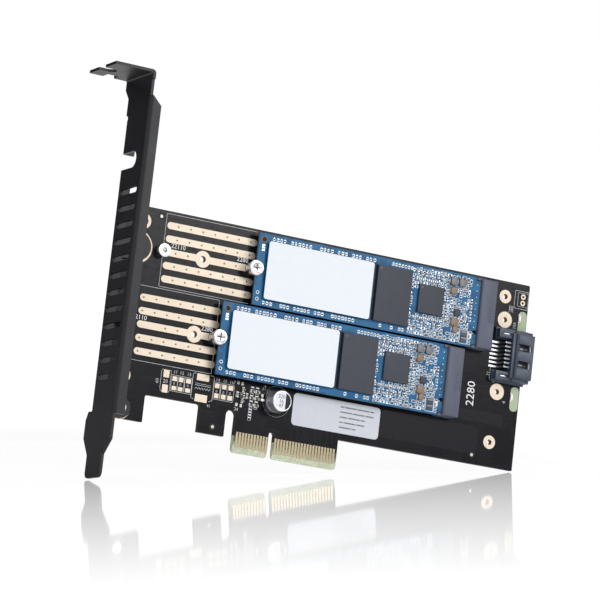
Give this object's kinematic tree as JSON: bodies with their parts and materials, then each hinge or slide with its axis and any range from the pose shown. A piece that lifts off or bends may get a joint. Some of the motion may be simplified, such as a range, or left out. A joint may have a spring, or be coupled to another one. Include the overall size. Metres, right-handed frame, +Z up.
{
  "type": "nvme adapter card",
  "caption": "Upright black expansion card with a vented full-height bracket, two blue M.2 solid-state modules in edge sockets and a SATA port at its far end.",
  "frame": {"origin": "centre of the edge connector's key notch, on the tongue's lower edge, halfway through the board", "axes": "+X along the board away from the bracket, +Y from the component side through to the solder side, +Z up the board away from the edge connector"},
  "size_m": [0.1571, 0.0193, 0.12],
  "materials": {
    "board_mask": "black solder mask over glass fibre, semi-gloss",
    "bracket_black": "black powder coat on steel sheet, satin",
    "can_aluminium": "plain drawn can",
    "capacitor_tan": "moulded resin",
    "chip_black": "moulded epoxy, fine matte",
    "gold": "immersion gold, pale and smooth",
    "inductor_grey": "pressed iron powder, fine matte",
    "label_white": "bare white sticker, matte",
    "led_white": "clear lamp body",
    "module_mask": "blue solder mask over glass fibre, semi-gloss",
    "passive_ceramic": "fired ceramic with tinned ends",
    "sata_black": "glass filled moulding",
    "screw_steel": "nickel plated",
    "socket_black": "glass filled moulding",
    "standoff_tin": "bright tin plate",
    "tin": "matte tin plate"
  },
  "bodies": {
    "root": {"board_label": "label_white", "bracket": "bracket_black", "bracket_screws": "screw_steel", "capacitor_base": "socket_black", "capacitor_can": "can_aluminium", "capacitor_leads": "tin", "chip_capacitors": "passive_ceramic", "chip_resistors": "passive_ceramic", "controller_lower": "chip_black", "controller_upper": "chip_black", "edge_contacts": "gold", "flash_lower_1": "chip_black", "flash_lower_2": "chip_black", "flash_lower_3": "chip_black", "flash_upper_1": "chip_black", "flash_upper_2": "chip_black", "flash_upper_3": "chip_black", "heat_strips_lower": "gold", "heat_strips_upper": "gold", "m2_socket_lower": "socket_black", "m2_socket_tails_lower": "tin", "m2_socket_tails_upper": "tin", "m2_socket_upper": "socket_black", "main_board": "board_mask", "module_board_lower": "module_mask", "module_board_upper": "module_mask", "module_capacitors_lower": "capacitor_tan", "module_capacitors_upper": "capacitor_tan", "module_inductors_lower": "inductor_grey", "module_inductors_upper": "inductor_grey", "module_label_lower": "label_white", "module_label_upper": "label_white", "module_passives_lower": "passive_ceramic", "module_passives_upper": "passive_ceramic", "module_screws": "screw_steel", "module_standoffs": "standoff_tin", "mounting_pads": "gold", "plated_pads": "gold", "sata_contacts": "tin", "sata_hold_downs": "tin", "sata_housing": "sata_black", "status_leds": "led_white"}
  },
  "joints": []
}
